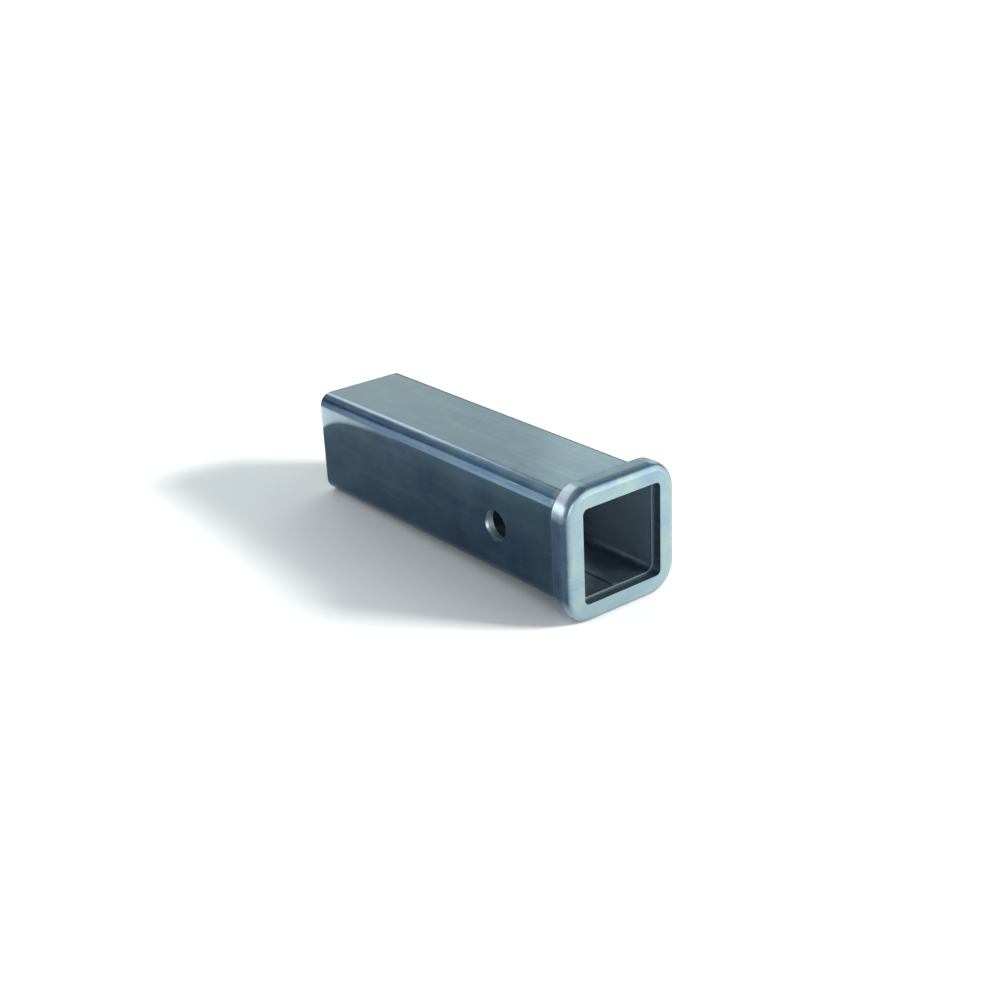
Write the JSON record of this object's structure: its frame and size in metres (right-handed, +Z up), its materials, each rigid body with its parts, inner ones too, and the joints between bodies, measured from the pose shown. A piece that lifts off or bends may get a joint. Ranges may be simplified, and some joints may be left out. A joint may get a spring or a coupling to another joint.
{
  "type": "hitch receiver sleeve",
  "caption": "Square steel tow hitch receiver sleeve: an open tube with a cross pin hole and a bevelled forged collar welded round its mouth.",
  "frame": {"origin": "centre of the pin hole, midway between the tube's sides", "axes": "+X along the tube towards the mouth, +Y along the pin hole, +Z up, away from the tube's inner seam"},
  "size_m": [0.2365, 0.0764, 0.0763],
  "materials": {
    "tube_steel": "cold-drawn steel tube, bare and lightly oiled",
    "collar_steel": "forged steel collar, blasted and bare",
    "weld_metal": "steel fillet weld, wire brushed"
  },
  "bodies": {
    "root": {"receiver_tube": "tube_steel", "collar": "collar_steel", "collar_weld": "weld_metal"}
  },
  "joints": []
}
